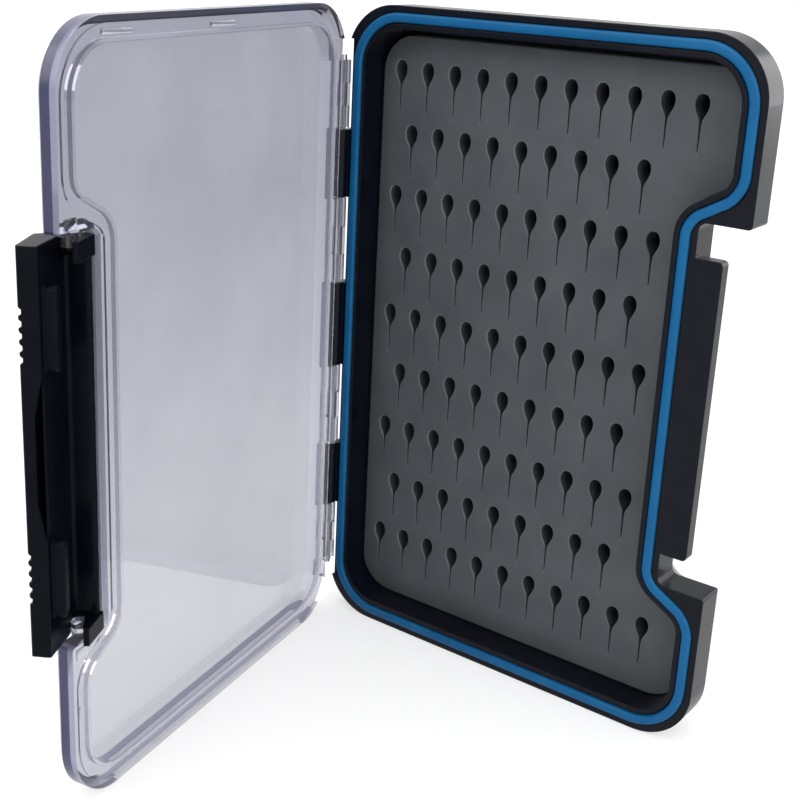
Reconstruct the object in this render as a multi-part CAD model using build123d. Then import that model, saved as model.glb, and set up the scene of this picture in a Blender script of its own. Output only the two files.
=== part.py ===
from build123d import *
import math
import os

# Slim fly box with a clear lid. Millimetres, +Z up.
#
# The box stands on its short end, opened like a book. Origin: centre of the
# lower end face of the base tray. +X points from the hinge to the latch, +Y
# into the tray, so that the open side of the tray faces -Y.
#
# Every piece is drawn lying on its back with the box closed: X across,
# Y along the box, Z out of the tray. stand() then puts it on its end, and the
# lid and the latch are turned about their pins to the opened pose.

# ---------------------------------------------------------------- opened pose
lid_opening = 79.6  # angle of the lid from closed
latch_opening = 68.0  # angle of the latch from closed

# ------------------------------------------------------------------ base tray
body_length = 154.0
body_width = 101.9
tray_depth = 14.0
tray_floor = 1.8
corner_radius = 13.0
straight_side = 7.6  # height of the upright part of the tray's side walls
back_bevel = 3.4  # how far the side walls lean in below it
back_chamfer = 1.2  # of the back face's edge

# notch for the latch, in both the tray and the lid
notch_length = 80.2
notch_depth = 11.0
notch_tip_radius = 0.8
notch_root_radius = 1.8

# ----------------------------------------------------------------- rim's seal
rim_margin = 1.5  # land outside the gasket
gasket_width = 2.4
gasket_fit = 0.05  # side clearance in the tray's groove
gasket_groove_depth = 1.8
gasket_proud = 0.7  # how far the gasket stands out of the rim
gasket_bevel = 0.45
seal_corner_radius = 11.3
sweep_angle = 30.0  # slope of the seal's run into the notch
sweep_outer_radius = 6.8
sweep_inner_radius = 5.3
lip_width = 1.3  # wall between the gasket and the cavity
hinge_lip_width = 0.6

# ---------------------------------------------------------------------- hinge
hinge_rise = 0.86  # pin axis in front of the tray's rim
hinge_outset = 0.33  # pin axis outside the tray's hinge side
barrel_diameter = 3.5
barrel_gap = 0.3  # from the barrels to the other half's wall
pin_diameter = 1.5
pin_fit = 0.05  # radial clearance of the pin in its knuckles
pin_overhang = 1.2
relief_wall = 0.5  # wall left outside the gasket beside the barrels
relief_depth = 3.0
relief_end_gap = 4.9  # relief beyond the end knuckles
knuckle_gap = 0.3
end_knuckle = 16.0  # lid's knuckles at the two ends
outer_knuckle = 16.5  # tray's knuckles next to them
inner_knuckle = 20.8  # lid's knuckles beside the middle
middle_knuckle = 21.4  # tray's knuckle in the middle

# ---------------------------------------------------------------- catch plate
catch_length = 65.6
catch_reach = 6.0  # from the notch wall
catch_thickness = 3.0
catch_corner_radius = 1.0

# ------------------------------------------------------------------------ lid
lid_depth = 5.2
lid_gap = 0.15  # between the closed lid and the tray's rim
lid_panel = 1.6
lid_edge_bevel = 1.7
lid_groove_depth = 1.0
lid_groove_fit = 0.15  # side clearance of the gasket in the lid's groove
lid_rib = 0.8  # wall inside the groove

# -------------------------------------------------------------- silicone pad
pad_thickness = 5.0
pad_gap = 0.2
pad_head_gap = 1.4  # at the upper end: the pad rests on the lower one
slot_rows = 9
slots_in_long_row = 11
first_slot_inset = 10.5  # from the tray's hinge side to the first slot of a long row
last_slot_inset = 16.4  # from its latch side to the last slot of the longest row
first_row_height = 21.4
last_row_inset = 15.0  # from the tray's upper end to the last row
slot_head_diameter = 3.3
slot_head_sides = 6
slot_head_length = 4.9
slot_length = 11.2
slit_width = 0.5

# ---------------------------------------------------------------------- latch
pivot_inset = 5.55  # from the tray's latch side in to the latch's pivot
pivot_rise = 2.86  # pivot in front of the tray's rim
stub_diameter = 3.4
stub_length = 2.8
stub_fit = 0.06
latch_gap = 0.7  # between each end of the latch and its shoulder
skin_offset = 6.0  # from the pivot out to the latch's outer skin
tip_drop = 10.8  # from the pivot back to the latch's tip
heel_drop = 1.0  # from the pivot back to the top of the outer skin
cover_height = 2.45  # from the pivot up to the flat of the cover
cover_edge = 0.4  # from the pivot out to the edge of that flat
cover_reach = 3.55  # from the pivot in to the cover's inner end
cover_thickness = 1.7
bar_thickness = 3.8  # at the tip
bar_root = 4.9  # thickness of the bar under the cover
skin_round = 0.6
tip_round = 0.5
root_round = 0.8
cover_round = 0.8
clip_length = 3.8
clip_reach = 4.3  # from the pivot in to the clip's wall
clip_drop = 5.6  # from the pivot back to the foot of that wall
clip_lean = 0.8
clip_foot = 1.1
clip_mouth = 2.9
snap_reach = 6.4  # from the outer skin to the tips of the snap ribs
snap_width = 3.0
snap_length = 16.0
snap_spacing = 48.6
snap_gap = 0.25  # behind the catch plate
snap_bevel = 0.4
grip_pitch = 2.2
grip_count = 5
grip_width = 1.8  # at the skin
grip_floor = 0.8  # width at the bottom of a groove
grip_depth = 0.7
grip_spacing = 46.8
grip_length = 5.0
scoop_length = 31.0
scoop_floor = 17.0
scoop_depth = 1.4
scoop_height = 4.0

# ------------------------------------------------------------- derived places
half_width = body_width / 2
mid_length = body_length / 2
rim = tray_depth / 2
back = -rim
lid_rim = rim + lid_gap
lid_top = lid_rim + lid_depth
notch_wall = half_width - notch_depth
notch_low = mid_length - notch_length / 2
notch_high = mid_length + notch_length / 2

hinge_x = -half_width - hinge_outset
hinge_z = rim + hinge_rise
barrel_radius = barrel_diameter / 2
relief_x = hinge_x + barrel_radius + barrel_gap

rim_inset = rim_margin + gasket_width / 2
seal_left = relief_x + relief_wall + gasket_width / 2
seal_right = half_width - rim_inset
seal_notch = notch_wall - rim_inset
seal_low = rim_inset
seal_high = body_length - rim_inset

slot_pitch = (body_width - first_slot_inset - last_slot_inset) / (slots_in_long_row - 1)
slot_row_pitch = (body_length - first_row_height - last_row_inset) / (slot_rows - 1)

pivot_x = half_width - pivot_inset
pivot_z = rim + pivot_rise
stub_radius = stub_diameter / 2
latch_skin = pivot_x + skin_offset
latch_tip = pivot_z - tip_drop
bar_inner = latch_skin - bar_thickness
cover_top = pivot_z + cover_height
cover_under = cover_top - cover_thickness

# heights of a body's open side, of the turn of its walls and of its closed side
TRAY_LEVELS = (rim, rim - straight_side, back)
LID_LEVELS = (lid_rim, lid_top - lid_edge_bevel, lid_top)
UPRIGHT = Plane(origin=(0, 0, 0), x_dir=(1, 0, 0), z_dir=(0, -1, 0))
HINGE = Axis(origin=(hinge_x, -hinge_z, 0), direction=(0, 0, 1))
PIVOT = Axis(origin=(pivot_x, -pivot_z, 0), direction=(0, 0, 1))


def stand(shape):
    """Stand a piece drawn on its back on its lower end."""
    return UPRIGHT.location * shape


def prism(face, low, high):
    """Solid over a face of the XY plane from height low to height high."""
    return extrude(Pos(0, 0, low) * face, high - low)


def slab(x, y, z):
    """Box between the two limits given for each axis."""
    size = [limits[1] - limits[0] for limits in (x, y, z)]
    centre = [(limits[0] + limits[1]) / 2 for limits in (x, y, z)]
    return Pos(*centre) * Box(*size)


def across(face, low, high):
    """Solid along the box over a face drawn across it, X by Z."""
    return Pos(0, high, 0) * Rot(90, 0, 0) * extrude(face, high - low)


# ------------------------------------------------- body of the tray and lid
def leaning(face, levels, spread):
    """Solid over a face: upright to the second level, leaning to the third."""
    start, turn, end = levels
    rise = end - turn
    lean = math.degrees(math.atan2(spread, abs(rise)))
    top = extrude(Pos(0, 0, turn) * face, abs(rise), dir=(0, 0, math.copysign(1, rise)), taper=lean)
    return prism(face, min(start, turn), max(start, turn)) + top


def notch_cutter(levels, spread):
    """Space of the latch's notch, wider where the body leans in."""
    outside = half_width + notch_depth
    points = [
        (outside, notch_low),
        (notch_wall, notch_low),
        (notch_wall, notch_high),
        (outside, notch_high),
    ]
    radii = [0, notch_root_radius, notch_root_radius, 0]
    return leaning(make_face(FilletPolyline(*points, radius=radii, close=True)), levels, -spread)


def notched_body(levels, spread):
    """Rounded body with the latch's notch, its walls leaning in at one side."""
    outline = Pos(0, mid_length) * RectangleRounded(body_width, body_length, corner_radius)
    block = leaning(outline, levels, spread) - notch_cutter(levels, spread)
    side = block.edges().filter_by(Axis.Z).group_by(Axis.X)[-1]
    tips = side.filter_by_position(Axis.Y, notch_low - 1, notch_high + 1)
    return fillet(tips, notch_tip_radius)


# ----------------------------------------------------------- line of the seal
def sweep_height(x, offset):
    """Height above the notch's shoulder of the sloping run at x."""
    slope = math.radians(sweep_angle)
    return ((x - seal_notch) * math.sin(slope) - offset) / math.cos(slope)


def seal_outline(offset, hinge_offset=None):
    """Face inside the seal's centre line moved out by offset."""
    left = seal_left - (offset if hinge_offset is None else hinge_offset)
    right = seal_right + offset
    notch = seal_notch + offset
    low, high = seal_low - offset, seal_high + offset
    outer, inner = sweep_height(right, offset), sweep_height(notch, offset)
    points = [
        (left, low),
        (right, low),
        (right, notch_low - outer),
        (notch, notch_low - inner),
        (notch, notch_high + inner),
        (right, notch_high + outer),
        (right, high),
        (left, high),
    ]
    corner = seal_corner_radius + offset
    sweep = [sweep_outer_radius + offset, sweep_inner_radius - offset]
    radii = [corner, corner] + sweep + sweep[::-1] + [corner, corner]
    return make_face(FilletPolyline(*points, radius=radii, close=True))


def seal_ring(half_breadth, low, high):
    """Ring that follows the seal's centre line."""
    return prism(seal_outline(half_breadth) - seal_outline(-half_breadth), low, high)


# ------------------------------------------------------------ hinge knuckles
def knuckle_spans():
    """Limits along the box of the knuckles, lower end first."""
    lengths = [end_knuckle, outer_knuckle, inner_knuckle]
    lengths = lengths + [middle_knuckle] + lengths[::-1]
    start = mid_length - sum(lengths) / 2
    spans = []
    for length in lengths:
        spans.append((start + knuckle_gap / 2, start + length - knuckle_gap / 2))
        start += length
    return spans


def knuckle(span, web_low, web_high, first_mouth):
    """Barrel on a web, its bore open to one side and the other in turn."""
    low, high = span
    barrel = across(Pos(hinge_x, hinge_z) * Circle(barrel_radius), low, high)
    web = slab((hinge_x, relief_x + relief_wall), span, (web_low, web_high))
    bore_radius = pin_diameter / 2 + pin_fit
    bore = across(Pos(hinge_x, hinge_z) * Circle(bore_radius), low, high)
    mouths = []
    step = (high - low) / 3
    for third, side in enumerate([first_mouth, -first_mouth, first_mouth]):
        along = (low + third * step, low + (third + 1) * step)
        depth = sorted((hinge_z, hinge_z + side * barrel_radius))
        mouths.append(slab((hinge_x - bore_radius, hinge_x + bore_radius), along, depth))
    return barrel + web - bore - mouths


def hinge_relief(low, high):
    """Space beside the barrels that is cut from a rim."""
    spans = knuckle_spans()
    along = (spans[0][0] - relief_end_gap, spans[-1][1] + relief_end_gap)
    return slab((hinge_x - barrel_diameter, relief_x), along, (low, high))


# ------------------------------------------------------------------ base tray
def catch_plate():
    """Plate that the latch's snap ribs hook behind."""
    outline = Rectangle(2 * catch_reach, catch_length)
    outline = fillet(outline.vertices(), catch_corner_radius)
    return prism(Pos(notch_wall, mid_length) * outline, rim - catch_thickness, rim)


def base_shell():
    """Tray body with its notch, its leaning walls and its bevelled back."""
    block = notched_body(TRAY_LEVELS, back_bevel)
    return chamfer(block.faces().sort_by(Axis.Z)[0].edges(), back_chamfer)


def base_tray():
    """Tray with its cavity, gasket groove, catch plate and knuckles."""
    tray = base_shell()
    inner = -(gasket_width / 2 + lip_width)
    hinge_inner = -(gasket_width / 2 + hinge_lip_width)
    tray -= prism(seal_outline(inner, hinge_inner), back + tray_floor, rim)
    tray -= seal_ring(gasket_width / 2 + gasket_fit, rim - gasket_groove_depth, rim)
    tray -= hinge_relief(rim - relief_depth, rim)
    tray += catch_plate() - prism(seal_outline(gasket_width / 2 + gasket_fit), back, rim)
    for span in knuckle_spans()[1::2]:
        tray += knuckle(span, rim - relief_depth, rim, 1)
    return tray


def gasket():
    """Seal that stands proud of the rim, with bevelled edges."""
    ring = seal_ring(gasket_width / 2, rim - gasket_groove_depth, rim + gasket_proud)
    return chamfer(ring.faces().sort_by(Axis.Z)[-1].edges(), gasket_bevel)


# --------------------------------------------------------------- silicone pad
def slot_outline():
    """Teardrop head with a slit that narrows to its lower end."""
    radius = slot_head_diameter / 2
    head_centre = slot_head_length / 2 - radius
    points = []
    for side in range(slot_head_sides):
        angle = math.radians(-20 + 220 * side / (slot_head_sides - 1))
        points.append((radius * math.cos(angle), head_centre + radius * math.sin(angle)))
    points.append((-slit_width / 2, -slot_head_length / 2))
    points.append((0, slot_head_length / 2 - slot_length))
    points.append((slit_width / 2, -slot_head_length / 2))
    return make_face(Polyline(*points, close=True))


def slot_places():
    """Centres of the slot heads: long rows and shorter ones in turn."""
    places = []
    for row in range(slot_rows):
        shifted = row % 2
        start = -half_width + first_slot_inset + shifted * slot_pitch / 2
        height = first_row_height + row * slot_row_pitch
        for column in range(slots_in_long_row - row_shortfall(row)):
            places.append(Pos(start + column * slot_pitch, height))
    return places


def row_shortfall(row):
    """Slots that a row has fewer than the longest rows."""
    if row in (0, slot_rows - 1):
        return 0
    return 2 if row % 2 else 1


def silicone_pad():
    """Slotted pad on the tray's floor."""
    inset = gasket_width / 2 + lip_width + pad_gap
    hinge_inset = gasket_width / 2 + hinge_lip_width + pad_gap
    outline = seal_outline(-inset, -hinge_inset)
    head = seal_high - inset - pad_head_gap
    outline -= Pos(0, head) * Rectangle(2 * body_width, body_length, align=(Align.CENTER, Align.MIN))
    slot = slot_outline()
    outline -= [place * slot for place in slot_places()]
    low = back + tray_floor
    return prism(outline, low, low + pad_thickness)


# ------------------------------------------------------------------------ lid
def latch_stub(shoulder, direction):
    """Pin on a shoulder of the lid that carries one end of the latch."""
    low, high = sorted((shoulder, shoulder + direction * stub_length))
    return across(Pos(pivot_x, pivot_z) * Circle(stub_radius), low, high)


def lid():
    """Clear lid with its groove, knuckles and latch stubs."""
    shell = notched_body(LID_LEVELS, lid_edge_bevel)
    groove = gasket_width / 2 + lid_groove_fit
    shell -= prism(seal_outline(-groove - lid_rib), lid_rim, lid_top - lid_panel)
    shell -= seal_ring(groove, lid_rim, lid_rim + lid_groove_depth)
    shell -= hinge_relief(lid_rim, hinge_z + barrel_radius + barrel_gap)
    for span in knuckle_spans()[0::2]:
        shell += knuckle(span, lid_rim, hinge_z + barrel_radius + barrel_gap, -1)
    shell += latch_stub(notch_low, 1)
    shell += latch_stub(notch_high, -1)
    return shell


# ------------------------------------------------------------------ hinge pin
def hinge_pin():
    """Steel pin through all the knuckles."""
    spans = knuckle_spans()
    low = spans[0][0] - pin_overhang
    high = spans[-1][1] + pin_overhang
    return across(Pos(hinge_x, hinge_z) * Circle(pin_diameter / 2), low, high)


# ---------------------------------------------------------------------- latch
def latch_section():
    """Closed section across the latch: bar outside, cover over the pivot."""
    points = [
        (latch_skin, latch_tip),
        (latch_skin, pivot_z - heel_drop),
        (pivot_x + cover_edge, cover_top),
        (pivot_x - cover_reach, cover_top),
        (pivot_x - cover_reach, cover_under),
        (latch_skin - bar_root, cover_under),
        (bar_inner, latch_tip),
    ]
    radii = [tip_round, skin_round, root_round, cover_round, cover_round, root_round, tip_round]
    return make_face(FilletPolyline(*points, radius=radii, close=True))


def clip_section():
    """Section of a clip: a wall beside the stub, and the fill to the bar."""
    wall = pivot_x - clip_reach
    foot = pivot_z - clip_drop
    mouth = pivot_x - clip_mouth / 2
    points = [
        (wall, cover_under + cover_round),
        (wall + clip_lean, foot),
        (wall + clip_lean + clip_foot, foot),
        (mouth, pivot_z - stub_radius),
        (latch_skin - bar_thickness, pivot_z - stub_radius),
        (latch_skin - bar_root, cover_under + cover_round),
    ]
    return make_face(Polyline(*points, close=True))


def clip_bore():
    """Section of a clip's bore, with the mouth that the stub snaps in by."""
    bore = Pos(pivot_x, pivot_z) * Circle(stub_radius + stub_fit)
    mouth = Rectangle(clip_mouth, clip_drop, align=(Align.CENTER, Align.MAX))
    return bore + Pos(pivot_x, pivot_z) * mouth


def snap_rib(centre):
    """Long rib inside the bar that hooks behind the catch plate."""
    hook = rim - catch_thickness - snap_gap
    middle = (bar_inner, centre, hook - snap_width / 2)
    face = Plane(origin=middle, x_dir=(0, 1, 0), z_dir=(-1, 0, 0)) * SlotOverall(snap_length, snap_width)
    rib = extrude(face, snap_reach - bar_thickness)
    return chamfer(rib.faces().sort_by(Axis.X)[0].edges(), snap_bevel)


def grips(centre):
    """Row of finger grooves across the outer skin at the tip."""
    first = centre - grip_pitch * (grip_count - 1) / 2
    floor = latch_skin - grip_depth
    profile = Polygon(
        (latch_skin, -grip_width / 2),
        (latch_skin, grip_width / 2),
        (floor, grip_floor / 2),
        (floor, -grip_floor / 2),
        align=None,
    )
    rows = [Pos(0, first + i * grip_pitch) * profile for i in range(grip_count)]
    return [prism(row, latch_tip, latch_tip + grip_length) for row in rows]


def finger_scoop():
    """Hollow in the bar's inner edge at the tip, between the snap ribs."""
    profile = Polygon(
        (bar_inner, mid_length - scoop_length / 2),
        (bar_inner + scoop_depth, mid_length - scoop_floor / 2),
        (bar_inner + scoop_depth, mid_length + scoop_floor / 2),
        (bar_inner, mid_length + scoop_length / 2),
        align=None,
    )
    return prism(profile, latch_tip, latch_tip + scoop_height)


def latch():
    """Latch bar with its clips, snap ribs, grips and finger scoop."""
    low, high = notch_low + latch_gap, notch_high - latch_gap
    body = across(latch_section(), low, high)
    for start in (low, high - clip_length):
        body += across(clip_section(), start, start + clip_length)
        body -= across(clip_bore(), start, start + clip_length)
    body -= finger_scoop()
    for side in (-1, 1):
        body += snap_rib(mid_length + side * snap_spacing / 2)
        body -= grips(mid_length + side * grip_spacing / 2)
    return body


# --------------------------------------------------------------- opened pose
def open_lid(shape):
    """Turn the closed, standing lid to its opened pose."""
    return shape.rotate(HINGE, -lid_opening)


def open_latch(shape):
    """Turn the closed, standing latch to its opened pose on the lid."""
    return open_lid(shape.rotate(PIVOT, -latch_opening))


os.makedirs("parts", exist_ok=True)
export_step(stand(base_tray()), "parts/base_tray.step")
export_step(stand(gasket()), "parts/gasket.step")
export_step(stand(silicone_pad()), "parts/silicone_pad.step")
export_step(stand(hinge_pin()), "parts/hinge_pin.step")
export_step(open_lid(stand(lid())), "parts/lid.step")
export_step(open_latch(stand(latch())), "parts/latch.step")
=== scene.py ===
"""Dress the slim fly box: finishes, studio and the fine moulded detail.

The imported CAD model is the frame: +Z up the box, +X from the hinge to the latch,
-Y out of the tray. Lengths of the pieces are in millimetres, and those of the
finishes and the studio are in metres.
"""

from __future__ import annotations

import logging
import math
from collections.abc import Callable
from dataclasses import dataclass
from enum import Enum
from functools import cache, cached_property
from typing import Any

import bmesh
import bpy
from mathutils import Matrix, Vector


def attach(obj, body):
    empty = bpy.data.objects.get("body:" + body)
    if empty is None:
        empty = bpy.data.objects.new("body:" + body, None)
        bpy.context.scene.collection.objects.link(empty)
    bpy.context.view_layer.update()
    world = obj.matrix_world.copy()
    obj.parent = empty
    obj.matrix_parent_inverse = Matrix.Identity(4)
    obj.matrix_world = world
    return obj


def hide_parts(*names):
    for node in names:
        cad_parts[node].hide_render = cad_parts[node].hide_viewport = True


LOG = logging.getLogger("fly_box")
MM = 0.001

Colour = tuple[float, float, float]
Point = tuple[float, float, float]
Span = tuple[float, float]
Socket = bpy.types.NodeSocket
Piece = bpy.types.Object
Test = Callable[[Any], bool]

# shader nodes
NOISE_RANGE = (0.3, 0.7)  # where most values of a noise pattern lie
UNIT_RANGE = (0.0, 1.0)
EDGE_SAMPLES = 6  # rays that look for an edge nearby
MIX_COLOURS = (6, 7)  # colour inputs of the Mix node
MIX_RESULT = 2  # colour output of the Mix node
UPWARD = (0.0, 0.0, 1.0)

# modelling by hand
SLACK = 0.02 * MM  # places nearer than this count as one
FINE_SLACK = 0.001 * MM  # the same for rows that lie close together
STRAIGHT = 0.5  # degrees; an edge that bends less than this is dissolved

# the lid as photographed, opened about its pin
LID_OPENING = 79.6  # degrees from closed
OPENED = math.radians(LID_OPENING)
ACROSS_LID = (math.cos(OPENED), -math.sin(OPENED), 0.0)  # from its hinge to its free side
THROUGH_LID = (math.sin(OPENED), math.cos(OPENED), 0.0)  # from its outer face to its rim


class Body(Enum):
    """Moving bodies that a piece can ride on."""

    TRAY = "tray"
    LID = "lid"
    LATCH = "latch"


class Node(Enum):
    """CAD nodes that the frame brings in."""

    TRAY = "base_tray"
    GASKET = "gasket"
    PAD = "silicone_pad"
    PIN = "hinge_pin"
    LID = "lid"
    LATCH = "latch"


class Part(Enum):
    """What is picked in edit mode, in the order of Blender's three buttons."""

    POINTS = "verts"
    EDGES = "edges"
    FACES = "faces"


# ------------------------------------------------------------------ shader nodes
@dataclass(frozen=True)
class Pattern:
    """Noise: waves to the metre, octaves of finer noise and a factor on each axis."""

    scale: float
    detail: float
    stretch: Point = (1, 1, 1)


class Graph:
    """Shader nodes of one material or world, with short ways to add and join them."""

    def __init__(self, owner: bpy.types.Material | bpy.types.World, output: str) -> None:
        """Clear the owner's nodes and add its output.

        Args:
            owner: The material or world.
            output: Blender's name for the output node's type.
        """
        self.owner = owner
        owner.use_nodes = True
        self.tree = owner.node_tree
        self.tree.nodes.clear()
        self.output = self.add(output)

    @classmethod
    def of_material(cls, name: str) -> Graph:
        """Start a new material.

        Args:
            name: Name of the material.

        Returns:
            Its graph, with only the output.
        """
        return cls(bpy.data.materials.new(name), "ShaderNodeOutputMaterial")

    @cached_property
    def coordinates(self) -> bpy.types.Node:
        """Node of the coordinates in the piece's own frame."""
        return self.add("ShaderNodeTexCoord")

    @property
    def place(self) -> Socket:
        """Socket of the place on the piece."""
        return self.coordinates.outputs["Object"]

    @property
    def normal(self) -> Socket:
        """Socket of the surface's direction on the piece."""
        return self.coordinates.outputs["Normal"]

    def add(self, kind: str, **settings: object) -> bpy.types.Node:
        """Add a node and set its properties.

        Args:
            kind: Blender's name for the node type.
            **settings: Property values, such as operation="MULTIPLY".

        Returns:
            The new node.
        """
        node = self.tree.nodes.new(kind)
        for name, value in settings.items():
            setattr(node, name, value)
        return node

    def join(self, source: Socket, target: Socket) -> None:
        """Link an output socket to an input socket."""
        self.tree.links.new(source, target)

    def math(self, operation: str, *values: Socket | float) -> Socket:
        """Work out one step of arithmetic.

        Args:
            operation: Blender's name for the step.
            *values: Sockets or numbers that it takes.

        Returns:
            Socket of the result.
        """
        node = self.add("ShaderNodeMath", operation=operation)
        for value, target in zip(values, node.inputs):
            if isinstance(value, float):
                target.default_value = value
            else:
                self.join(value, target)
        return node.outputs[0]

    def dot(self, vector: Socket, direction: Point) -> Socket:
        """Measure a vector along a direction.

        Args:
            vector: Socket of the vector.
            direction: Unit direction.

        Returns:
            Socket of the measure.
        """
        node = self.add("ShaderNodeVectorMath", operation="DOT_PRODUCT")
        node.inputs[1].default_value = direction
        self.join(vector, node.inputs[0])
        return node.outputs["Value"]

    def noise(self, pattern: Pattern) -> Socket:
        """Add a noise pattern in the piece's own coordinates.

        Args:
            pattern: The noise.

        Returns:
            Socket of the noise.
        """
        mapping = self.add("ShaderNodeMapping")
        mapping.inputs["Scale"].default_value = pattern.stretch
        self.join(self.place, mapping.inputs["Vector"])
        texture = self.add("ShaderNodeTexNoise")
        texture.inputs["Scale"].default_value = pattern.scale
        texture.inputs["Detail"].default_value = pattern.detail
        self.join(mapping.outputs["Vector"], texture.inputs["Vector"])
        return texture.outputs["Fac"]

    def remap(self, value: Socket, source: Span, target: Span, kind: str = "LINEAR") -> Socket:
        """Map a range of values onto another and hold it at both ends.

        Args:
            value: Socket of the value.
            source: Range that it comes in.
            target: Range that it is given.
            kind: Blender's name for the way between the ends.

        Returns:
            Socket of the mapped value.
        """
        node = self.add("ShaderNodeMapRange", interpolation_type=kind)
        node.inputs["From Min"].default_value, node.inputs["From Max"].default_value = source
        node.inputs["To Min"].default_value, node.inputs["To Max"].default_value = target
        self.join(value, node.inputs["Value"])
        return node.outputs["Result"]

    def spread(self, noise: Socket, low: float = 0.0, high: float = 1.0) -> Socket:
        """Map the middle of a noise pattern onto a range.

        Args:
            noise: Socket of the noise.
            low: Result where the noise is low.
            high: Result where the noise is high.

        Returns:
            Socket of the mapped value.
        """
        return self.remap(noise, NOISE_RANGE, (low, high))

    def tint(self, factor: Socket, first: Colour | Socket, second: Colour | Socket) -> Socket:
        """Blend two colours by a factor.

        Args:
            factor: Socket of the factor, 0 to 1.
            first: Colour, or socket of the colour, at 0.
            second: The same at 1.

        Returns:
            Socket of the blended colour.
        """
        mix = self.add("ShaderNodeMix", data_type="RGBA")
        self.join(factor, mix.inputs[0])
        for colour, index in zip((first, second), MIX_COLOURS):
            if isinstance(colour, tuple):
                mix.inputs[index].default_value = (*colour, 1)
            else:
                self.join(colour, mix.inputs[index])
        return mix.outputs[MIX_RESULT]

    def bump(self, height: Socket, distance: float, strength: float, edge: float = 0) -> Socket:
        """Turn a height into a surface normal.

        Args:
            height: Socket of the height.
            distance: Height of the relief.
            strength: Share of the relief that shows.
            edge: Radius by which sharp edges look rounded, or 0.

        Returns:
            Socket of the normal.
        """
        node = self.add("ShaderNodeBump")
        node.inputs["Distance"].default_value = distance
        node.inputs["Strength"].default_value = strength
        self.join(height, node.inputs["Height"])
        if edge:
            soft = self.add("ShaderNodeBevel", samples=EDGE_SAMPLES)
            soft.inputs["Radius"].default_value = edge
            self.join(soft.outputs["Normal"], node.inputs["Normal"])
        return node.outputs["Normal"]

    def surface(self, roughness: float, **values: object) -> bpy.types.Node:
        """Add the surface shader and join it to the output.

        Args:
            roughness: Roughness where no pattern is joined to it.
            **values: Constants of other sockets, by name with _ for spaces.

        Returns:
            The shader node.
        """
        shader = self.add("ShaderNodeBsdfPrincipled")
        shader.inputs["Roughness"].default_value = roughness
        for name, value in values.items():
            shader.inputs[name.replace("_", " ")].default_value = value
        self.join(shader.outputs["BSDF"], self.output.inputs["Surface"])
        return shader

    def seen(self) -> Socket:
        """Tell rays from the camera, gloss and clear plastic from those that only light.

        Returns:
            Socket that is 1 for such rays and 0 for the others.
        """
        path = self.add("ShaderNodeLightPath").outputs
        direct = self.math("MAXIMUM", path["Is Camera Ray"], path["Is Glossy Ray"])
        return self.math("MAXIMUM", direct, path["Is Transmission Ray"])


# ----------------------------------------------------------------------- finishes
@dataclass(frozen=True)
class Moulding:
    """Opaque moulded material: soft clouds of colour, uneven sheen and a fine skin."""

    name: str
    deep: Colour
    pale: Colour
    smooth: float
    rough: float
    gloss: float
    dust: float
    ior: float
    dust_rough: float
    clouds: Pattern
    sheen: Pattern
    texture: Pattern
    texture_height: float
    texture_strength: float
    edge_radius: float

    def material(self) -> bpy.types.Material:
        """Build the material.

        Returns:
            Material whose colour, sheen and skin vary slightly.
        """
        graph = Graph.of_material(self.name)
        shader = graph.surface(
            self.rough,
            IOR=self.ior,
            Specular_IOR_Level=self.gloss,
            Sheen_Weight=self.dust,
            Sheen_Roughness=self.dust_rough,
        )
        clouds = graph.spread(graph.noise(self.clouds))
        graph.join(graph.tint(clouds, self.deep, self.pale), shader.inputs["Base Color"])
        sheen = graph.spread(graph.noise(self.sheen), self.smooth, self.rough)
        graph.join(sheen, shader.inputs["Roughness"])
        texture = graph.noise(self.texture)
        relief = graph.bump(texture, self.texture_height, self.texture_strength, self.edge_radius)
        graph.join(relief, shader.inputs["Normal"])
        return graph.owner


@dataclass(frozen=True)
class MouldedPlastic(Moulding):
    """Satin moulded plastic with a fine spark-eroded texture."""

    ior: float = 1.5
    dust_rough: float = 0.35
    clouds: Pattern = Pattern(140, 4)
    sheen: Pattern = Pattern(60, 5)
    texture: Pattern = Pattern(2600, 2)
    texture_height: float = 0.02 * MM
    texture_strength: float = 0.35
    edge_radius: float = 0.40 * MM


@dataclass(frozen=True)
class SoftSilicone(Moulding):
    """Moulded silicone, slightly cloudy, matt or with a soft gloss."""

    ior: float = 1.42
    dust_rough: float = 0.5
    clouds: Pattern = Pattern(90, 5)
    sheen: Pattern = Pattern(50, 4)
    texture: Pattern = Pattern(1800, 3)
    texture_height: float = 0.03 * MM
    texture_strength: float = 0.4
    edge_radius: float = 0.1 * MM


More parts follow.
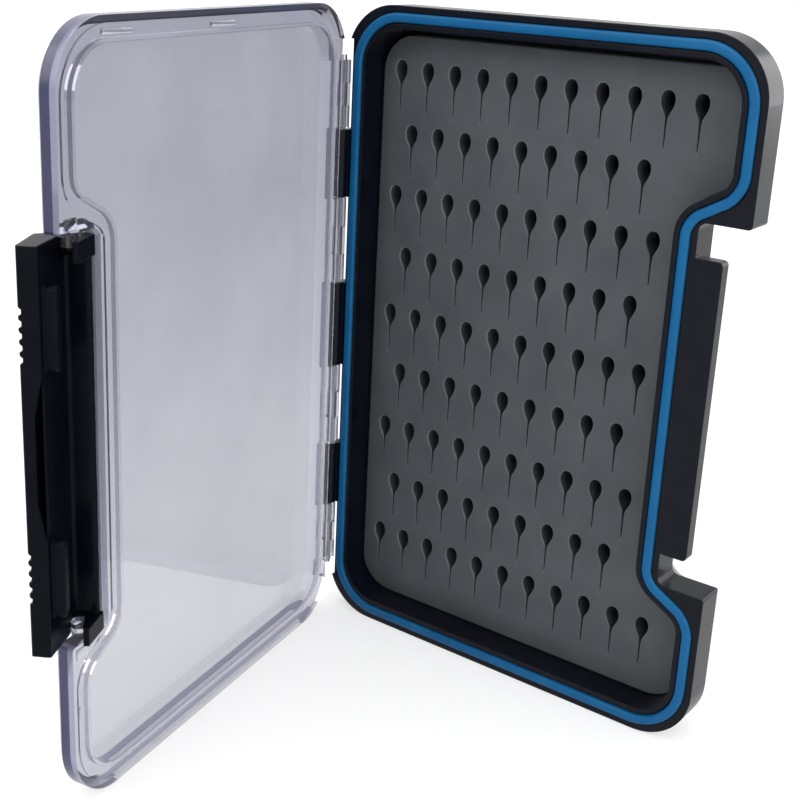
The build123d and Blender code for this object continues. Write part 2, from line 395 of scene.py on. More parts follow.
@dataclass(frozen=True)
class LidWalls:
    """Where the opened lid's outer walls are, in millimetres."""

    corner_across: float = 87.70  # to the centres of its free corners
    corner_up: float = 64.0  # from its middle height to those centres
    middle: float = 77.0
    corner_inner: float = 11.7  # what lies further from those centres is the wall
    flat_limit: float = 0.8  # a face that looks more through the lid is no wall
    deep_limit: float = -52.5  # how far the deep colour comes up from the outer face

    def share(self, graph: Graph) -> Socket:
        """Find the outer walls, where light has come a long way through.

        Args:
            graph: Material's graph.

        Returns:
            Socket that is 1 on the outer walls and 0 elsewhere.
        """
        across = graph.math("SUBTRACT", graph.dot(graph.place, ACROSS_LID), self.corner_across * MM)
        height = graph.math("SUBTRACT", graph.dot(graph.place, UPWARD), self.middle * MM)
        up = graph.math("SUBTRACT", graph.math("ABSOLUTE", height), self.corner_up * MM)
        positive = [graph.math("MAXIMUM", side, 0.0) for side in (across, up)]
        squares = [graph.math("POWER", side, 2.0) for side in positive]
        distance = graph.math("SQRT", graph.math("ADD", *squares))
        outside = graph.math("GREATER_THAN", distance, self.corner_inner * MM)
        facing = graph.math("ABSOLUTE", graph.dot(graph.normal, THROUGH_LID))
        wall = graph.math("LESS_THAN", facing, self.flat_limit)
        return graph.math("MULTIPLY", outside, wall)

    def deep_share(self, graph: Graph) -> Socket:
        """Find how much of the deep colour shows: most on the free side, by the outer face.

        Args:
            graph: Material's graph.

        Returns:
            Socket from 0, pale, to 1, deep.
        """
        side = graph.math("ABSOLUTE", graph.dot(graph.normal, ACROSS_LID))
        depth = graph.dot(graph.place, THROUGH_LID)
        outer = graph.math("LESS_THAN", depth, self.deep_limit * MM)
        return graph.math("MULTIPLY", graph.math("POWER", side, 2.0), outer)


@dataclass(frozen=True)
class ClearPlastic:
    """Clear polycarbonate with a violet cast that deepens in the edges."""

    name: str
    clean: Colour
    # colour of the painted shade at the top, and of the random haze
    shaded_hazed_colour: Colour
    depth_colour: Colour
    depth_density: float
    edge_colour: Colour
    rim_colour: Colour
    clarity: float
    edge_clarity: float
    smooth: float = 0.015
    rough: float = 0.06
    wall_rough: float = 0.22
    ior: float = 1.5
    haze: Pattern = Pattern(34, 4)
    # heights over which painted shade darkens the panel towards the top
    painted_shade_heights: Span = (0.010, 0.150)
    haze_patches: float = 0.10
    waves: Pattern = Pattern(22, 1, (1, 1, 0.35))
    wave_height: float = 0.12 * MM
    wave_strength: float = 0.25
    walls: LidWalls = LidWalls()

    def material(self) -> bpy.types.Material:
        """Build the material.

        Returns:
            Clear plastic with faint flow waves, random haze and painted shade towards the top.
        """
        graph = Graph.of_material(self.name)
        shader = graph.surface(self.rough, IOR=self.ior, Transmission_Weight=self.clarity)
        haze = graph.noise(self.haze)
        walls = self.walls.share(graph)
        # the panel darkens towards the top with painted shade, and varies with random haze
        panel = graph.tint(self.painted_top_shade_and_haze(graph, haze), self.clean, self.shaded_hazed_colour)
        edge = graph.tint(self.walls.deep_share(graph), self.rim_colour, self.edge_colour)
        graph.join(graph.tint(walls, panel, edge), shader.inputs["Base Color"])
        clarity = graph.remap(walls, UNIT_RANGE, (self.clarity, self.edge_clarity))
        graph.join(clarity, shader.inputs["Transmission Weight"])
        sheen = graph.spread(haze, self.smooth, self.rough)
        frosted = graph.math("MULTIPLY", walls, self.wall_rough)
        graph.join(graph.math("MAXIMUM", sheen, frosted), shader.inputs["Roughness"])
        relief = graph.bump(graph.noise(self.waves), self.wave_height, self.wave_strength)
        graph.join(relief, shader.inputs["Normal"])
        depth = graph.add("ShaderNodeVolumeAbsorption")
        depth.inputs["Color"].default_value = (*self.depth_colour, 1)
        depth.inputs["Density"].default_value = self.depth_density
        graph.join(depth.outputs["Volume"], graph.output.inputs["Volume"])
        return graph.owner

    def painted_top_shade_and_haze(self, graph: Graph, haze: Socket) -> Socket:
        """Darken the panel towards the top with painted shade, and add random patches of haze.

        Args:
            graph: Material's graph.
            haze: Socket of the haze pattern.

        Returns:
            Socket from 0, clean, to 1, shaded and hazed.
        """
        up = graph.dot(graph.place, UPWARD)
        # painted shade: the panel grows darker towards the top
        height = graph.remap(up, self.painted_shade_heights, UNIT_RANGE, "SMOOTHSTEP")
        patches = graph.spread(haze, -self.haze_patches, self.haze_patches)
        total = graph.math("ADD", height, patches)
        return graph.math("MINIMUM", graph.math("MAXIMUM", total, 0.0), 1.0)


@dataclass(frozen=True)
class DrawnSteel:
    """Bright drawn wire with fine lines along it."""

    name: str
    deep: Colour
    pale: Colour
    smooth: float
    rough: float
    anisotropy: float = 0.4
    lines: Pattern = Pattern(5200, 2, (1, 1, 0.02))
    line_height: float = 0.01 * MM
    line_strength: float = 0.3

    def material(self) -> bpy.types.Material:
        """Build the material.

        Returns:
            Steel with draw lines that run along the pin.
        """
        graph = Graph.of_material(self.name)
        shader = graph.surface(self.rough, Metallic=1.0, Anisotropic=self.anisotropy)
        lines = graph.noise(self.lines)
        colour = graph.tint(graph.spread(lines), self.deep, self.pale)
        graph.join(colour, shader.inputs["Base Color"])
        graph.join(graph.spread(lines, self.smooth, self.rough), shader.inputs["Roughness"])
        relief = graph.bump(lines, self.line_height, self.line_strength)
        graph.join(relief, shader.inputs["Normal"])
        return graph.owner


Finish = Moulding | ClearPlastic | DrawnSteel

BLACK_BODY = MouldedPlastic(
    name="black_tray_plastic",
    deep=(0.0010, 0.0021, 0.0062),
    pale=(0.0022, 0.0034, 0.0086),
    smooth=0.20,
    rough=0.30,
    gloss=0.15,
    dust=0.06,
)
BLACK_LATCH = MouldedPlastic(
    name="black_latch_plastic",
    deep=(0.0010, 0.0018, 0.0044),
    pale=(0.0022, 0.0030, 0.0060),
    smooth=0.20,
    rough=0.32,
    gloss=0.06,
    dust=0.0,
    edge_radius=0.65 * MM,
)
BLUE_SEAL = SoftSilicone(
    name="blue_seal_rubber",
    deep=(0.002, 0.082, 0.215),
    pale=(0.004, 0.104, 0.255),
    smooth=0.24,
    rough=0.36,
    dust=0.0,
    gloss=0.22,
)
GREY_PAD = SoftSilicone(
    name="grey_pad_silicone",
    deep=(0.056, 0.064, 0.071),
    pale=(0.074, 0.082, 0.089),
    smooth=0.60,
    rough=0.76,
    dust=0.05,
    gloss=0.4,
)
# lighter faces round each slot's head: a painted highlight
PAD_LIP_HIGHLIGHT = SoftSilicone(
    name="grey_pad_lip_painted_highlight",
    deep=(0.100, 0.106, 0.116),
    pale=(0.125, 0.132, 0.142),
    smooth=0.55,
    rough=0.70,
    dust=0.05,
    gloss=0.4,
)
# darker walls inside the slots: painted shade
PAD_SLOT_SHADE = SoftSilicone(
    name="grey_pad_slot_painted_shade",
    deep=(0.030, 0.033, 0.038),
    pale=(0.042, 0.046, 0.052),
    smooth=0.70,
    rough=0.85,
    dust=0.0,
    gloss=0.2,
)
CLEAR_LID = ClearPlastic(
    name="clear_lid_plastic",
    clean=(0.665, 0.665, 0.71),
    # darker towards the top: painted shade, with random haze
    shaded_hazed_colour=(0.41, 0.41, 0.468),
    depth_colour=(0.40, 0.40, 0.60),
    depth_density=50.0,
    edge_colour=(0.046, 0.048, 0.150),
    rim_colour=(0.38, 0.38, 0.53),
    clarity=0.92,
    edge_clarity=0.60,
)
CLEAR_MARK = ClearPlastic(
    name="clear_mark_plastic",
    clean=(0.97, 0.97, 0.98),
    # the marks take the same painted shade towards the top
    shaded_hazed_colour=(0.94, 0.94, 0.96),
    depth_colour=(0.8, 0.8, 0.9),
    depth_density=10.0,
    edge_colour=(0.97, 0.97, 0.98),
    rim_colour=(0.97, 0.97, 0.98),
    clarity=1.0,
    edge_clarity=1.0,
)
STEEL_PIN = DrawnSteel(
    name="drawn_pin_steel",
    deep=(0.50, 0.50, 0.52),
    pale=(0.66, 0.66, 0.68),
    smooth=0.16,
    rough=0.34,
)


@cache
def material_of(finish: Finish) -> bpy.types.Material:
    """Build a finish's material the first time, and give the same one after that."""
    return finish.material()


def coat(piece: Piece, *finishes: Finish) -> None:
    """Give a piece finishes in place of those that it has.

    Args:
        piece: The piece.
        *finishes: Its finishes, in the order of its material slots.
    """
    piece.data.materials.clear()
    for finish in finishes:
        piece.data.materials.append(material_of(finish))


def dress(node: Node, finish: Finish) -> None:
    """Give a CAD node its finish."""
    coat(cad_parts[node.value], finish)
    LOG.info("dressed %s with %s", node.value, finish.name)


def mount(piece: Piece, body: Body, slot: str, *replaced: Node) -> None:
    """Fix a new piece to a moving body.

    Args:
        piece: The new piece.
        body: Body that it rides on.
        slot: Not used.
        *replaced: CAD nodes that it stands for.
    """
    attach(piece, body.value)
    if replaced:
        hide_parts(*[node.value for node in replaced])
    LOG.info("modelled %s on %s", piece.name, body.value)


# -------------------------------------------------------------- modelling by hand
def only(*pieces: Piece) -> None:
    """Select these pieces and nothing else; the first is the active one."""
    bpy.ops.object.select_all(action="DESELECT")
    for piece in pieces:
        piece.select_set(True)
    bpy.context.view_layer.objects.active = pieces[0]


def settle(piece: Piece) -> None:
    """Move a piece's place, turn and scale into its mesh."""
    only(piece)
    bpy.ops.object.transform_apply(location=True, rotation=True, scale=True)


def block(name: str, low: Point, high: Point) -> Piece:
    """Add a cube that fills the box between two corners.

    Args:
        name: Name of the new piece.
        low: Lowest corner in millimetres.
        high: Highest corner in millimetres.

    Returns:
        The cube, ready to be shaped.
    """
    middle = (Vector(low) + Vector(high)) / 2 * MM
    size = (Vector(high) - Vector(low)) * MM
    bpy.ops.object.select_all(action="DESELECT")
    bpy.ops.mesh.primitive_cube_add(size=1, location=middle, scale=size)
    piece = bpy.context.object
    piece.name = name
    piece.data.name = name
    settle(piece)
    return piece


def cut_away(piece: Piece, cutter: Piece) -> None:
    """Cut one piece out of another and throw the cutter away."""
    only(piece)
    bpy.ops.object.modifier_add(type="BOOLEAN")
    cut = piece.modifiers[-1]
    cut.operation = "DIFFERENCE"
    cut.solver = "EXACT"
    cut.object = cutter
    bpy.ops.object.modifier_apply(modifier=cut.name)
    bpy.data.objects.remove(cutter, do_unlink=True)


def smooth(piece: Piece, degrees: float) -> None:
    """Shade a piece smooth, apart from edges sharper than an angle."""
    only(piece)
    bpy.ops.object.shade_smooth_by_angle(angle=math.radians(degrees))


def near(first: float, second: float, slack: float = SLACK) -> bool:
    """Say whether two places lie within a slack of each other."""
    return abs(first - second) < slack


def across_edge(edge: bmesh.types.BMEdge) -> bool:
    """Say whether an edge runs through the thickness, along Y."""
    start, end = (point.co for point in edge.verts)
    return near(start.x, end.x) and near(start.z, end.z)


class Edit:
    """Edit mode on one piece, with its points, edges or faces picked by test."""

    def __init__(self, piece: Piece) -> None:
        """Remember the piece to edit."""
        self.piece = piece

    def __enter__(self) -> Edit:
        """Select only the piece and open it for editing."""
        only(self.piece)
        bpy.ops.object.mode_set(mode="EDIT")
        return self

    def __exit__(self, *problem: object) -> None:
        """Close edit mode."""
        bpy.ops.object.mode_set(mode="OBJECT")

    def pick(self, part: Part, test: Test) -> None:
        """Select the points, edges or faces that pass a test, and nothing else.

        Args:
            part: Which of the three is picked.
            test: Gets each one and says whether it is picked.
        """
        bpy.context.tool_settings.mesh_select_mode = [part is kind for kind in Part]
        bpy.ops.mesh.select_all(action="DESELECT")
        mesh = bmesh.from_edit_mesh(self.piece.data)
        for one in getattr(mesh, part.value):
            if test(one):
                one.select_set(True)
        mesh.select_flush_mode()
        bmesh.update_edit_mesh(self.piece.data)

    def pick_outline(self, y: float) -> None:
        """Select the edges that lie at one Y, in millimetres."""
        self.pick(Part.EDGES, lambda edge: all(near(point.co.y, y * MM) for point in edge.verts))

    def everything(self) -> None:
        """Select the whole piece."""
        bpy.ops.mesh.select_all(action="SELECT")

    def bevel(self, reach: float, steps: int) -> None:
        """Round the picked edges.

        Args:
            reach: How far along the faces beside them the rounding reaches.
            steps: Flats in the rounding.
        """
        bpy.ops.mesh.bevel(offset=reach * MM, segments=steps, affect="EDGES", clamp_overlap=False)

    def pull(self, y: float = 0.0, z: float = 0.0) -> None:
        """Extrude the picked faces by a shift in metres."""
        bpy.ops.mesh.extrude_region_move(TRANSFORM_OT_translate={"value": (0, y, z)})

    def stretch(self, across: float, up: float = 1.0) -> None:
        """Scale what is picked about the origin, in X and in Z."""
        bpy.ops.transform.resize(value=(across, 1, up), center_override=(0, 0, 0))


# --------------------------------------------------------------- line of the seal
@dataclass(frozen=True)
class SealLine:
    """Line that the seal follows, in millimetres, and shapes that run along it."""

    left: float = -47.53
    right: float = 48.25
    notch: float = 37.25
    low: float = 2.7
    high: float = 151.3
    notch_low: float = 36.9
    notch_high: float = 117.1
    slope: float = 30.0  # degrees, of its runs into the notch
    corner: float = 11.3
    outer_bend: float = 6.8
    inner_bend: float = 5.3
    corner_steps: int = 14
    bend_steps: int = 8

    def rise(self, x: float, shift: float) -> float:
        """Give the height over the notch's shoulder of the sloping run at x."""
        slope = math.radians(self.slope)
        return ((x - self.notch) * math.sin(slope) - shift) / math.cos(slope)

    def slab(
        self, name: str, shifts: Span, front: float, back: float, top: float | None = None
    ) -> Piece:
        """Model a slab inside the line, moved out by a shift.

        Args:
            name: Name of the new piece.
            shifts: How far its edge lies outside the line, all round and by the hinge.
            front: Y of the slab's face towards the open side.
            back: Y of its other face.
            top: Height where the slab ends, if not along the line.

        Returns:
            The slab, with its corners and bends rounded.
        """
        shift, hinge_shift = shifts
        left, right, notch = self.left - hinge_shift, self.right + shift, self.notch + shift
        low, high = self.low - shift, self.high + shift if top is None else top
        outer, inner = self.rise(right, shift), self.rise(notch, shift)
        turns = (self.notch_low - outer, self.notch_high + outer)
        roots = (self.notch_low - inner, self.notch_high + inner)
        bend = math.tan(math.radians(90 - self.slope) / 2)
        slab = block(name, (left, front, low), (right, back, high))
        with Edit(slab) as edit:
            for height in turns + roots:
                edit.everything()
                bpy.ops.mesh.bisect(plane_co=(0, 0, height * MM), plane_no=UPWARD)
            self.push_notch(edit, right, notch, roots)
            edit.everything()
            bpy.ops.mesh.dissolve_limited(angle_limit=math.radians(STRAIGHT))
            corners = [(x, z) for x in (left, right) for z in (low, high)]
            self.round_off(edit, corners, self.corner + shift, self.corner_steps)
            outside, inside = [(right, z) for z in turns], [(notch, z) for z in roots]
            self.round_off(edit, outside, (self.outer_bend + shift) * bend, self.bend_steps)
            self.round_off(edit, inside, (self.inner_bend - shift) * bend, self.bend_steps)
        return slab

    @staticmethod
    def push_notch(edit: Edit, right: float, notch: float, roots: Span) -> None:
        """Push the middle of the latch side in, which makes the notch.

        Args:
            edit: The slab in edit mode.
            right: Where the side stands.
            notch: Where its middle goes.
            roots: Heights between which it is pushed.
        """

        def in_middle(point: bmesh.types.BMVert) -> bool:
            at_root = any(near(point.co.z, root * MM) for root in roots)
            return at_root and near(point.co.x, right * MM)

        edit.pick(Part.POINTS, in_middle)
        bpy.ops.transform.translate(value=((notch - right) * MM, 0, 0))

    @staticmethod
    def round_off(edit: Edit, places: list[Span], reach: float, steps: int) -> None:
        """Round the edges that run through the slab at some places.

        Args:
            edit: The slab in edit mode.
            places: X and Z of the edges.
            reach: How far along its sides the rounding reaches.
            steps: Flats in each rounding.
        """

        def at_place(edge: bmesh.types.BMEdge) -> bool:
            point = edge.verts[0].co
            here = any(near(point.x, x * MM) and near(point.z, z * MM) for x, z in places)
            return here and across_edge(edge)

        edit.pick(Part.EDGES, at_place)
        edit.bevel(reach, steps)


SEAL = SealLine()


# ---------------------------------------------------------------------- base tray
@dataclass(frozen=True)
class Tray:
    """Black tray with its seal, its slotted pad and the hinge pin, in millimetres."""

    cut_past: float = 1.0  # how far a cutter stands out of what it cuts

    # seal
    groove_floor: float = -5.2
    seal_front: float = -7.7
    seal_outer: float = 1.14
    seal_inner: float = 1.00
    seal_round: float = 0.62
    seal_steps: int = 5
    seal_sharp: float = 50.0  # degrees

    # pad
    floor: float = 5.2
    pad_lift: float = 0.01
    pad_front: float = 0.2
    pad_shifts: Span = (-2.7, -2.0)
    pad_top: float = 147.2
    pad_round: float = 0.45
    pad_steps: int = 3
    pad_sharp: float = 40.0  # degrees

    # slots
    rows: int = 9
    long_row: int = 11
    first_slot: float = -40.45
    pitch: float = 7.5
    first_height: float = 21.4
    row_pitch: float = 14.7
    slot_back: float = 6.2
    slot_lips: tuple[Span, ...] = ((0.14, 1.04), (0.12, 1.08))  # depth, growth
    slot_top: Span = (2.30, 0.34)  # height, half width
    slot_rows: tuple[Span, ...] = (
        (2.10, 0.80),
        (1.70, 1.18),
        (1.15, 1.46),
        (0.50, 1.58),
        (-0.20, 1.54),
        (-0.95, 1.34),
        (-1.75, 0.98),
        (-2.50, 0.54),
        (-3.05, 0.30),
        (-3.65, 0.22),
        (-8.90, 0.12),
        (-9.40, 0.03),
    )

    # how the slots' faces are told from the others
    front_limit: float = 0.99  # a cutter's face that looks more towards -Y is its front
    flat_limit: float = 0.98  # a pad's face that looks more along Y is its front or back
    lip_slack: float = 0.01
    notch_slack: float = 0.05
    notch_reach: float = 8.0  # how far past the notch the pad's wall beside it runs

    def build(self) -> None:
        """Dress the tray and model what it carries."""
        dress(Node.TRAY, BLACK_BODY)
        dress(Node.PIN, STEEL_PIN)
        mount(self.seal(), Body.TRAY, "gasket", Node.GASKET)
        mount(self.pad(), Body.TRAY, "pad", Node.PAD)

    @property
    def lip_depth(self) -> float:
        """Y where the slots' lips end and their cut walls start."""
        return self.pad_front + sum(depth for depth, _ in self.slot_lips)

    def seal(self) -> Piece:
        """Model the seal: a ring in the groove with a rounded front.

        Returns:
            The ring.
        """
        outer, inner = (self.seal_outer, self.seal_outer), (-self.seal_inner, -self.seal_inner)
        front, back = self.seal_front - self.cut_past, self.groove_floor + self.cut_past
        ring = SEAL.slab("seal_ring", outer, self.seal_front, self.groove_floor)
        cut_away(ring, SEAL.slab("seal_hollow", inner, front, back))
        with Edit(ring) as edit:
            edit.pick_outline(self.seal_front)
            edit.bevel(self.seal_round, self.seal_steps)
        smooth(ring, self.seal_sharp)
        coat(ring, BLUE_SEAL)
        return ring

    def pad(self) -> Piece:
        """Model the pad: a soft-edged slab with rows of teardrop slots.

        Returns:
            The pad.
        """
        back = self.floor - self.pad_lift
        pad = SEAL.slab("fly_pad", self.pad_shifts, self.pad_front, back, self.pad_top)
        with Edit(pad) as edit:
            edit.pick_outline(self.pad_front)
            edit.bevel(self.pad_round, self.pad_steps)
        cut_away(pad, self.slots())
        smooth(pad, self.pad_sharp)
        self.paint_slots(pad)
        return pad

    def paint_slots(self, pad: Piece) -> None:
        """Give the pad its finish, with a painted highlight on the slots' lips and painted shade on
        their cut walls.

        Args:
            pad: The pad, with its slots cut.
        """
        shift, _ = self.pad_shifts
        lip = (self.lip_depth + self.lip_slack) * MM
        left = (self.first_slot - self.pitch / 2) * MM
        right = (SEAL.right + shift - self.pad_round) * MM
        notch = (SEAL.notch + shift - self.pad_round - self.notch_slack) * MM
        low, high = (self.first_height - self.row_pitch) * MM, (self.pad_top - self.pad_round) * MM
        notch_low = (SEAL.notch_low - self.notch_reach) * MM
        notch_high = (SEAL.notch_high + self.notch_reach) * MM

        def in_slot(face: bmesh.types.BMFace) -> bool:
            middle = face.calc_center_median()
            inside = left < middle.x < right and low < middle.z < high
            on_outline = middle.x > notch and notch_low < middle.z < notch_high
            return inside and abs(face.normal.y) < self.flat_limit and not on_outline

        # the lighter lip faces carry a painted highlight
        def is_painted_lip_highlight(face: bmesh.types.BMFace) -> bool:
            return in_slot(face) and face.calc_center_median().y < lip

        # the darker cut walls carry painted shade
        def is_painted_slot_shade(face: bmesh.types.BMFace) -> bool:
            return in_slot(face) and face.calc_center_median().y >= lip

        coat(pad, GREY_PAD, PAD_LIP_HIGHLIGHT, PAD_SLOT_SHADE)
        with Edit(pad) as edit:
            for index, test in enumerate((is_painted_lip_highlight, is_painted_slot_shade), start=1):
                edit.pick(Part.FACES, test)
                pad.active_material_index = index
                bpy.ops.object.material_slot_assign()

    def slots(self) -> Piece:
        """Copy the slot's cutter to all its places.

        Returns:
            All the cutters as one piece.
        """
        first = self.slot()
        copies = []
        for x, z in self.places():
            copy = first.copy()
            copy.data = first.data.copy()
            copy.location = (x * MM, 0, z * MM)
            bpy.context.scene.collection.objects.link(copy)
            copies.append(copy)
        bpy.data.objects.remove(first, do_unlink=True)
        only(*copies)
        bpy.ops.object.join()
        settle(copies[0])
        return copies[0]

    def places(self) -> list[Span]:
        """List the slots' places: long rows and shorter ones in turn.

        Returns:
            X and Z of each slot's head.
        """
        found = []
        for row in range(self.rows):
            missing = 0 if row in (0, self.rows - 1) else 1 + row % 2
            start = self.first_slot + (row % 2) * self.pitch / 2
            height = self.first_height + row * self.row_pitch
            columns = range(self.long_row - missing)
            found += [(start + column * self.pitch, height) for column in columns]
        return found

    def slot(self) -> Piece:
        """Model the cutter of one slot, row by row from its top.

        Returns:
            Teardrop with a slit below it, flared where it meets the pad's face.
        """
        (top, half), (height, _) = self.slot_top, self.slot_rows[0]
        low, high = (-half, self.lip_depth, height), (half, self.slot_back, top)
        cutter = block("slot_cutter", low, high)
        with Edit(cutter) as edit:
            for height, half_width in self.slot_rows:
                self.next_row(edit, height, half_width)
            for depth, growth in self.slot_lips:
                edit.pick(Part.FACES, self.is_front)
                edit.pull(y=-depth * MM)
                edit.stretch(growth, growth)
            edit.pick(Part.FACES, self.is_front)
            edit.pull(y=-self.cut_past * MM)
        return cutter

    def is_front(self, face: bmesh.types.BMFace) -> bool:
        """Say whether a face is a cutter's front."""
        return face.normal.y < -self.front_limit

    @staticmethod
    def next_row(edit: Edit, height: float, half_width: float) -> None:
        """Pull the cutter's lowest face down to the next row and set its width.

        Args:
            edit: The cutter in edit mode.
            height: Height of the row.
            half_width: Half the row's width.
        """
        mesh = bmesh.from_edit_mesh(edit.piece.data)
        low = min(point.co.z for point in mesh.verts)
        half = max(point.co.x for point in mesh.verts if near(point.co.z, low))

        def is_lowest(face: bmesh.types.BMFace) -> bool:
            return all(near(point.co.z, low, FINE_SLACK) for point in face.verts)

        edit.pick(Part.FACES, is_lowest)
        if not near(low, height * MM, FINE_SLACK):
            edit.pull(z=height * MM - low)
        edit.stretch(half_width * MM / half)


# ---------------------------------------------------------------------------- lid
@dataclass(frozen=True)
class Mark:
    """Shallow raised mark on the lid's inner side, on the closed box, in millimetres."""

    name: str
    low: Span  # X and Z of its corners
    high: Span
    y: float  # of the face that it stands on
    height: float


@dataclass(frozen=True)
class Lid:
    """Clear lid with the shallow marks that its mould leaves, in millimetres."""

    hinge: Span = (-51.28, -7.86)
    mark_lift: float = 0.01
    mark_corner: float = 0.24
    mark_corner_steps: int = 3
    mark_bevel: float = 0.06
    mark_bevel_steps: int = 2
    mark_sharp: float = 35.0  # degrees
    marks: tuple[Mark, ...] = (
        Mark("upper_mark_outer", (28.6, 150.55), (37.5, 151.55), -8.15, 0.20),
        Mark("upper_mark_inner", (-5.0, 150.55), (3.7, 151.55), -8.15, 0.20),
        Mark("lower_mark", (47.9, 12.5), (49.1, 22.4), -8.15, 0.20),
        Mark("low_web_mark", (46.4, 33.9), (49.9, 36.2), -7.15, 0.10),
        Mark("high_web_mark", (46.4, 117.8), (49.9, 120.1), -7.15, 0.10),
    )

    def build(self) -> None:
        """Dress the lid and model its moulded marks."""
        dress(Node.LID, CLEAR_LID)
        for mark in self.marks:
            plate = self.raised(mark)
            self.open_up(plate)
            mount(plate, Body.LID, "lid")

    def raised(self, mark: Mark) -> Piece:
        """Model one raised mark.

        Args:
            mark: Its name, corners and place.

        Returns:
            A low plate with bevelled edges.
        """
        (left, low), (right, high) = mark.low, mark.high
        foot = mark.y + self.mark_lift
        top = foot + mark.height
        plate = block(mark.name, (left, foot, low), (right, top, high))
        with Edit(plate) as edit:
            edit.pick(Part.EDGES, across_edge)
            edit.bevel(self.mark_corner, self.mark_corner_steps)
            edit.pick_outline(top)
            edit.bevel(self.mark_bevel, self.mark_bevel_steps)
        smooth(plate, self.mark_sharp)
        coat(plate, CLEAR_MARK)
        return plate

    def open_up(self, piece: Piece) -> None:
        """Turn a piece that was modelled on the closed lid to the opened pose."""
        pin = Vector((*self.hinge, 0)) * MM
        turn = Matrix.Rotation(-OPENED, 4, "Z")
        piece.matrix_world = Matrix.Translation(pin) @ turn @ Matrix.Translation(-pin)
        settle(piece)


# -------------------------------------------------------------------------- latch
@dataclass(frozen=True)
class Latch:
    """Black latch on the lid, whose solid has its whole form."""

    finish: MouldedPlastic = BLACK_LATCH

    def build(self) -> None:
        """Dress the latch."""
        dress(Node.LATCH, self.finish)


# ------------------------------------------------------------------------- studio
@dataclass(frozen=True)
class Lamp:
    """Soft round lamp that points at the box."""

    name: str
    place: Point
    size: float
    power: float
    aim: Point = (-0.02, -0.03, 0.08)

    def build(self) -> None:
        """Add the lamp and turn it to its aim."""
        light = bpy.data.lights.new(self.name, "AREA")
        light.shape = "DISK"
        light.size = self.size
        light.energy = self.power
        lamp = bpy.data.objects.new(self.name, light)
        bpy.context.scene.collection.objects.link(lamp)
        lamp.location = self.place
        towards = Vector(self.aim) - Vector(self.place)
        lamp.rotation_euler = towards.to_track_quat("-Z", "Y").to_euler()


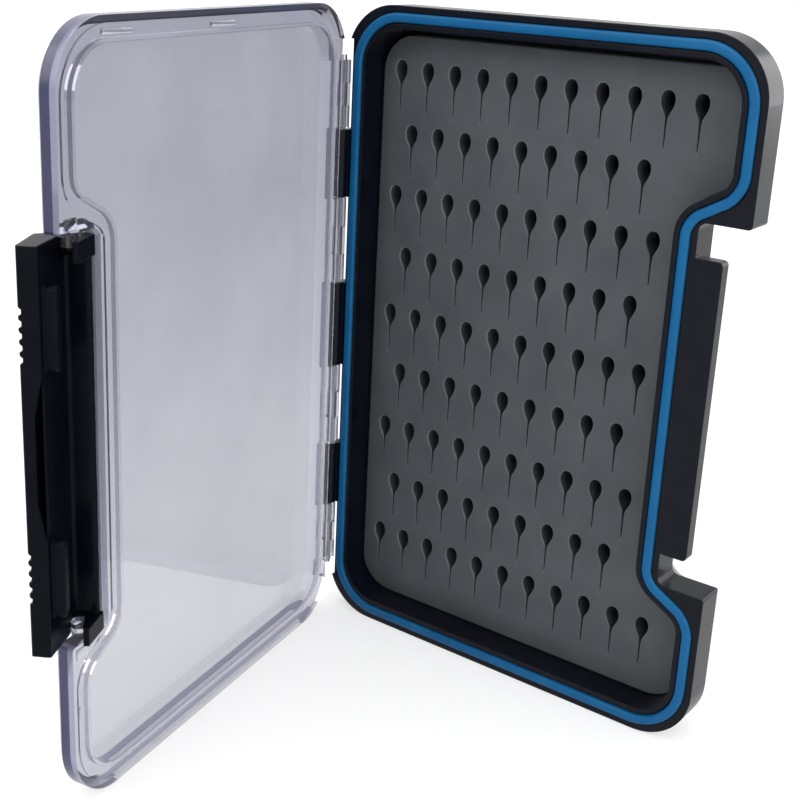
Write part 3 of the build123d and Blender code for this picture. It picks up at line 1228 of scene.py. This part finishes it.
@dataclass(frozen=True)
class Studio:
    """White floor, soft lamps and the camera, in metres."""

    camera_place: Point = (0.144792, -0.252869, 0.169621)
    camera_turn: Point = (72.1975, -2.3559, 37.7743)  # degrees
    camera_lens: float = 59.487  # millimetres
    camera_sensor: float = 36.0  # millimetres
    camera_shift: Span = (0.0374, -0.0561)
    camera_clip: Span = (0.01, 50.0)
    floor_size: float = 8.0
    floor_colour: Colour = (0.86, 0.86, 0.86)
    floor_glow: float = 1.25
    glow_near: float = 0.45  # share of the glow under the box
    glow_reach: Span = (0.25, 0.9)  # where the glow starts to grow, and where it is whole
    sky_strength: float = 0.55
    lamps: tuple[Lamp, ...] = (
        Lamp("key_lamp", (-0.45, -1.30, 1.15), 1.9, 19.0),
        Lamp("side_lamp", (1.35, -0.35, 0.75), 1.5, 13.0),
        Lamp("top_lamp", (0.10, 0.40, 1.55), 1.6, 11.0),
        Lamp("rear_lamp", (0.55, 1.25, 0.25), 1.2, 9.0),
    )

    def build(self) -> None:
        """Set up the whole studio."""
        self.camera()
        self.floor()
        self.sky()
        for lamp in self.lamps:
            lamp.build()
        bpy.context.scene.view_settings.view_transform = "Standard"

    def camera(self) -> None:
        """Add the camera at the photograph's place and angle."""
        data = bpy.data.cameras.new("camera")
        data.lens = self.camera_lens
        data.sensor_width = self.camera_sensor
        data.shift_x, data.shift_y = self.camera_shift
        data.clip_start, data.clip_end = self.camera_clip
        camera = bpy.data.objects.new("camera", data)
        bpy.context.scene.collection.objects.link(camera)
        camera.location = self.camera_place
        camera.rotation_euler = [math.radians(angle) for angle in self.camera_turn]
        bpy.context.scene.camera = camera

    def floor(self) -> None:
        """Lay the pale floor, which glows white where the box doesn't shade it."""
        bpy.ops.object.select_all(action="DESELECT")
        bpy.ops.mesh.primitive_plane_add(size=self.floor_size, location=(0, 0, 0))
        floor = bpy.context.object
        floor.name = "floor"
        graph = Graph.of_material("floor_paper")
        paper = graph.add("ShaderNodeBsdfDiffuse")
        paper.inputs["Color"].default_value = (*self.floor_colour, 1)
        glow = graph.add("ShaderNodeEmission")
        glow.inputs["Strength"].default_value = self.floor_glow
        distance = graph.add("ShaderNodeVectorMath", operation="LENGTH")
        graph.join(graph.place, distance.inputs[0])
        share = graph.remap(distance.outputs["Value"], self.glow_reach, (self.glow_near, 1.0))
        mix = graph.add("ShaderNodeMixShader")
        graph.join(graph.math("MULTIPLY", graph.seen(), share), mix.inputs["Fac"])
        graph.join(paper.outputs["BSDF"], mix.inputs[1])
        graph.join(glow.outputs["Emission"], mix.inputs[2])
        graph.join(mix.outputs["Shader"], graph.output.inputs["Surface"])
        floor.data.materials.append(graph.owner)

    def sky(self) -> None:
        """Light the scene evenly, with white behind the box."""
        world = bpy.data.worlds.new("soft_room")
        graph = Graph(world, "ShaderNodeOutputWorld")
        shade = graph.add("ShaderNodeBackground")
        shade.inputs["Color"].default_value = (1, 1, 1, 1)
        strength = graph.remap(graph.seen(), UNIT_RANGE, (self.sky_strength, 1.0))
        graph.join(strength, shade.inputs["Strength"])
        graph.join(shade.outputs["Background"], graph.output.inputs["Surface"])
        bpy.context.scene.world = world


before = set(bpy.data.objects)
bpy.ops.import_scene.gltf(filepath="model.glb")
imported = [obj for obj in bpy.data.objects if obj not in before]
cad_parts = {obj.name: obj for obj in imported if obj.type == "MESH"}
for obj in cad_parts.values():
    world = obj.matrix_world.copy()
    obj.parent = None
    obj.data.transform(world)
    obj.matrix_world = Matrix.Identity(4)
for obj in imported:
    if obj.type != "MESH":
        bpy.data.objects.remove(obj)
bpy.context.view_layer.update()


def main() -> None:
    """Dress the box and set up the studio."""
    logging.basicConfig(level=logging.INFO, format="%(name)s: %(message)s")
    Tray().build()
    Lid().build()
    Latch().build()
    Studio().build()


if __name__ == "__main__":
    main()
